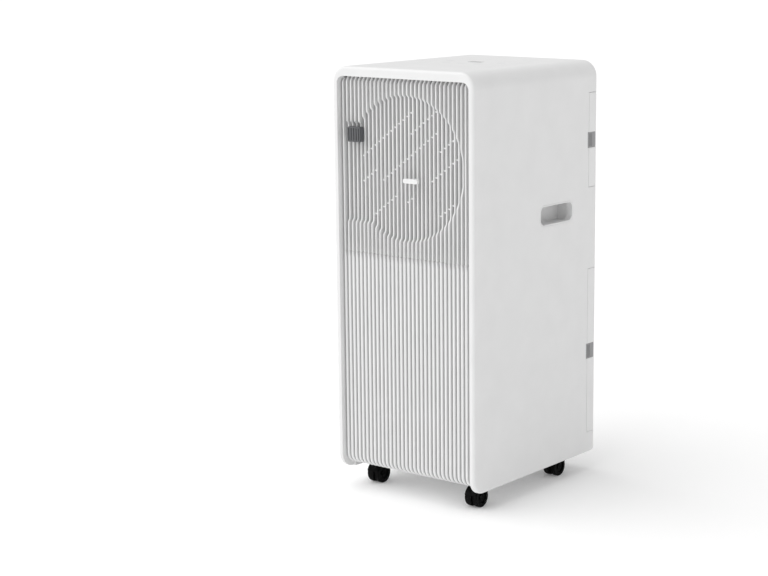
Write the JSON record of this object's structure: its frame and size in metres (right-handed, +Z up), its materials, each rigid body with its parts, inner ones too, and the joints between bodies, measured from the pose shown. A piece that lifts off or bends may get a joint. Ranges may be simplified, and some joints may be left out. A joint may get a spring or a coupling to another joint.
{
  "type": "portable air conditioner",
  "caption": "Upright portable air conditioner with rounded cabinet, ribbed front and finned outlet, louvres, grip pockets, filter doors, hose port and casters.",
  "frame": {"origin": "on the floor under the middle of the cabinet's outline", "axes": "+Z up, +Y towards the rear with the filter doors and hose port, -Y out of the front grille, +X towards the side with the door tabs"},
  "size_m": [0.275, 0.335, 0.68],
  "materials": {
    "white_shell": "satin",
    "white_front": "satin",
    "grey_plastic": "matte",
    "black_plastic": "satin",
    "wheel_tread": "matte",
    "dark_window": "gloss",
    "key_plastic": "satin",
    "filter_net": "matte",
    "soft_rubber": "matte",
    "duct_plastic": "matte",
    "fan_plastic": "satin",
    "motor_steel": "satin",
    "coil_fins": "satin",
    "sheet_steel": "satin",
    "compressor_paint": "gloss",
    "copper_pipe": "satin",
    "board_green": "satin"
  },
  "bodies": {
    "cabinet": {"cabinet_shell": "white_shell", "front_panel": "white_front", "outlet_grille": "white_front", "rear_panel": "white_shell", "base_pan": "white_shell", "cabinet_screws": "motor_steel", "exhaust_collar": "white_shell", "exhaust_duct": "duct_plastic", "cord_gland": "soft_rubber", "handle_cups": "white_shell", "control_panel": "white_shell", "display_window": "dark_window", "control_board": "board_green", "fan_duct": "duct_plastic", "fan_motors": "motor_steel", "blower_scroll": "duct_plastic", "evaporator_coil": "coil_fins", "condenser_coil": "coil_fins", "divider": "sheet_steel", "compressor": "compressor_paint", "compressor_feet": "soft_rubber", "electrical_box": "sheet_steel", "refrigerant_pipes": "copper_pipe", "caster_sockets": "black_plastic"},
    "upper_door": {"upper_filter_door": "white_shell", "upper_door_tab": "grey_plastic", "upper_filter_mesh": "filter_net"},
    "lower_door": {"lower_filter_door": "white_shell", "lower_door_tab": "grey_plastic", "lower_filter_mesh": "filter_net"},
    "upper_plug": {"upper_drain_plug": "soft_rubber"},
    "lower_plug": {"lower_drain_plug": "soft_rubber"},
    "power_key": {"power_button": "key_plastic"},
    "mode_key": {"mode_button": "key_plastic"},
    "down_key": {"down_button": "key_plastic"},
    "speed_key": {"speed_button": "key_plastic"},
    "up_key": {"up_button": "key_plastic"},
    "vane_1": {"vane_1": "duct_plastic"},
    "vane_2": {"vane_2": "duct_plastic"},
    "vane_3": {"vane_3": "duct_plastic", "vane_tab": "white_front"},
    "vane_4": {"vane_4": "duct_plastic"},
    "vane_5": {"vane_5": "duct_plastic"},
    "vane_link": {"vane_link": "duct_plastic"},
    "slider": {"slider": "grey_plastic"},
    "deflector_1": {"deflector_1": "duct_plastic"},
    "deflector_2": {"deflector_2": "duct_plastic"},
    "deflector_3": {"deflector_3": "duct_plastic"},
    "deflector_4": {"deflector_4": "duct_plastic"},
    "deflector_link": {"deflector_link": "duct_plastic"},
    "axial_fan": {"axial_fan": "fan_plastic"},
    "blower_wheel": {"blower_wheel": "fan_plastic"},
    "caster_front_right": {"caster_fork_front_right": "black_plastic"},
    "wheels_front_right": {"caster_wheels_front_right": "wheel_tread"},
    "caster_front_left": {"caster_fork_front_left": "black_plastic"},
    "wheels_front_left": {"caster_wheels_front_left": "wheel_tread"},
    "caster_rear_right": {"caster_fork_rear_right": "black_plastic"},
    "wheels_rear_right": {"caster_wheels_rear_right": "wheel_tread"},
    "caster_rear_left": {"caster_fork_rear_left": "black_plastic"},
    "wheels_rear_left": {"caster_wheels_rear_left": "wheel_tread"}
  },
  "joints": [
    {"name": "upper_door_hinge", "type": "hinge", "parent": "cabinet", "child": "upper_door", "pos_m": [-0.1215, 0.1635, 0.55335], "axis": [0, 0, 1], "range_deg": [0, 90]},
    {"name": "lower_door_hinge", "type": "hinge", "parent": "cabinet", "child": "lower_door", "pos_m": [-0.1215, 0.1635, 0.20525], "axis": [0, 0, 1], "range_deg": [0, 90]},
    {"name": "upper_plug_pull", "type": "slide", "parent": "cabinet", "child": "upper_plug", "axis": [0, 1, 0], "range_m": [0, 0.02]},
    {"name": "lower_plug_pull", "type": "slide", "parent": "cabinet", "child": "lower_plug", "axis": [0, 1, 0], "range_m": [0, 0.02]},
    {"name": "power_press", "type": "slide", "parent": "cabinet", "child": "power_key", "axis": [0, 0, -1], "range_m": [0, 0.0012], "stiffness_N_per_m": 900, "springref_m": -0.0003},
    {"name": "mode_press", "type": "slide", "parent": "cabinet", "child": "mode_key", "axis": [0, 0, -1], "range_m": [0, 0.0012], "stiffness_N_per_m": 900, "springref_m": -0.0003},
    {"name": "down_press", "type": "slide", "parent": "cabinet", "child": "down_key", "axis": [0, 0, -1], "range_m": [0, 0.0012], "stiffness_N_per_m": 900, "springref_m": -0.0003},
    {"name": "speed_press", "type": "slide", "parent": "cabinet", "child": "speed_key", "axis": [0, 0, -1], "range_m": [0, 0.0012], "stiffness_N_per_m": 900, "springref_m": -0.0003},
    {"name": "up_press", "type": "slide", "parent": "cabinet", "child": "up_key", "axis": [0, 0, -1], "range_m": [0, 0.0012], "stiffness_N_per_m": 900, "springref_m": -0.0003},
    {"name": "vane_1_tilt", "type": "hinge", "parent": "cabinet", "child": "vane_1", "pos_m": [0, -0.104, 0.406], "axis": [1, 0, 0], "range_deg": [-20, 20]},
    {"name": "vane_2_tilt", "type": "hinge", "parent": "cabinet", "child": "vane_2", "pos_m": [0, -0.104, 0.458], "axis": [1, 0, 0], "range_deg": [-20, 20]},
    {"name": "vane_3_tilt", "type": "hinge", "parent": "cabinet", "child": "vane_3", "pos_m": [0, -0.104, 0.51], "axis": [1, 0, 0], "range_deg": [-20, 20]},
    {"name": "vane_4_tilt", "type": "hinge", "parent": "cabinet", "child": "vane_4", "pos_m": [0, -0.104, 0.562], "axis": [1, 0, 0], "range_deg": [-20, 20]},
    {"name": "vane_5_tilt", "type": "hinge", "parent": "cabinet", "child": "vane_5", "pos_m": [0, -0.104, 0.614], "axis": [1, 0, 0], "range_deg": [-20, 20]},
    {"name": "vane_link_swing", "type": "hinge", "parent": "vane_3", "child": "vane_link", "pos_m": [-0.125, -0.094, 0.51], "axis": [1, 0, 0], "range_deg": [-20, 20]},
    {"name": "slider_move", "type": "slide", "parent": "cabinet", "child": "slider", "axis": [0, 0, -1], "range_m": [0, 0.1]},
    {"name": "deflector_1_turn", "type": "hinge", "parent": "cabinet", "child": "deflector_1", "pos_m": [-0.05604, -0.135, 0.5215], "axis": [0, 0, 1], "range_deg": [0, 57]},
    {"name": "deflector_2_turn", "type": "hinge", "parent": "cabinet", "child": "deflector_2", "pos_m": [-0.00804, -0.135, 0.5215], "axis": [0, 0, 1], "range_deg": [0, 57]},
    {"name": "deflector_3_turn", "type": "hinge", "parent": "cabinet", "child": "deflector_3", "pos_m": [0.03996, -0.135, 0.5215], "axis": [0, 0, 1], "range_deg": [0, 57]},
    {"name": "deflector_4_turn", "type": "hinge", "parent": "cabinet", "child": "deflector_4", "pos_m": [0.08796, -0.135, 0.5215], "axis": [0, 0, 1], "range_deg": [0, 57]},
    {"name": "deflector_link_swing", "type": "hinge", "parent": "deflector_2", "child": "deflector_link", "pos_m": [-0.00475, -0.12882, 0.648], "axis": [0, 0, 1], "range_deg": [-57, 0]},
    {"name": "axial_fan_spin", "type": "hinge", "parent": "cabinet", "child": "axial_fan", "pos_m": [0, -0.054, 0.527], "axis": [0, 1, 0], "continuous": true},
    {"name": "blower_spin", "type": "hinge", "parent": "cabinet", "child": "blower_wheel", "pos_m": [0.03, 0.057, 0.21], "axis": [0, 1, 0], "continuous": true},
    {"name": "swivel_front_right", "type": "hinge", "parent": "cabinet", "child": "caster_front_right", "pos_m": [0.104, -0.112, 0.045], "axis": [0, 0, 1], "continuous": true},
    {"name": "roll_front_right", "type": "hinge", "parent": "caster_front_right", "child": "wheels_front_right", "pos_m": [0.104, -0.118, 0.016], "axis": [1, 0, 0], "continuous": true},
    {"name": "swivel_front_left", "type": "hinge", "parent": "cabinet", "child": "caster_front_left", "pos_m": [-0.104, -0.112, 0.045], "axis": [0, 0, 1], "continuous": true},
    {"name": "roll_front_left", "type": "hinge", "parent": "caster_front_left", "child": "wheels_front_left", "pos_m": [-0.104, -0.106, 0.016], "axis": [-1, 0, 0], "continuous": true},
    {"name": "swivel_rear_right", "type": "hinge", "parent": "cabinet", "child": "caster_rear_right", "pos_m": [0.104, 0.09, 0.045], "axis": [0, 0, 1], "continuous": true},
    {"name": "roll_rear_right", "type": "hinge", "parent": "caster_rear_right", "child": "wheels_rear_right", "pos_m": [0.104, 0.096, 0.016], "axis": [-1, 0, 0], "continuous": true},
    {"name": "swivel_rear_left", "type": "hinge", "parent": "cabinet", "child": "caster_rear_left", "pos_m": [-0.104, 0.09, 0.045], "axis": [0, 0, 1], "continuous": true},
    {"name": "roll_rear_left", "type": "hinge", "parent": "caster_rear_left", "child": "wheels_rear_left", "pos_m": [-0.101, 0.0952, 0.016], "axis": [-0.866, 0.5, 0], "continuous": true}
  ],
  "couplings": [
    {"joint": "vane_1_tilt", "follows": "vane_3_tilt", "ratio": 1},
    {"joint": "vane_2_tilt", "follows": "vane_3_tilt", "ratio": 1},
    {"joint": "vane_4_tilt", "follows": "vane_3_tilt", "ratio": 1},
    {"joint": "vane_5_tilt", "follows": "vane_3_tilt", "ratio": 1},
    {"joint": "vane_link_swing", "follows": "vane_3_tilt", "ratio": -1},
    {"joint": "deflector_1_turn", "follows": "slider_move", "rad_per_m": 9.7738},
    {"joint": "deflector_2_turn", "follows": "slider_move", "rad_per_m": 9.7738},
    {"joint": "deflector_3_turn", "follows": "slider_move", "rad_per_m": 9.7738},
    {"joint": "deflector_4_turn", "follows": "slider_move", "rad_per_m": 9.7738},
    {"joint": "deflector_link_swing", "follows": "slider_move", "rad_per_m": -9.7738}
  ]
}
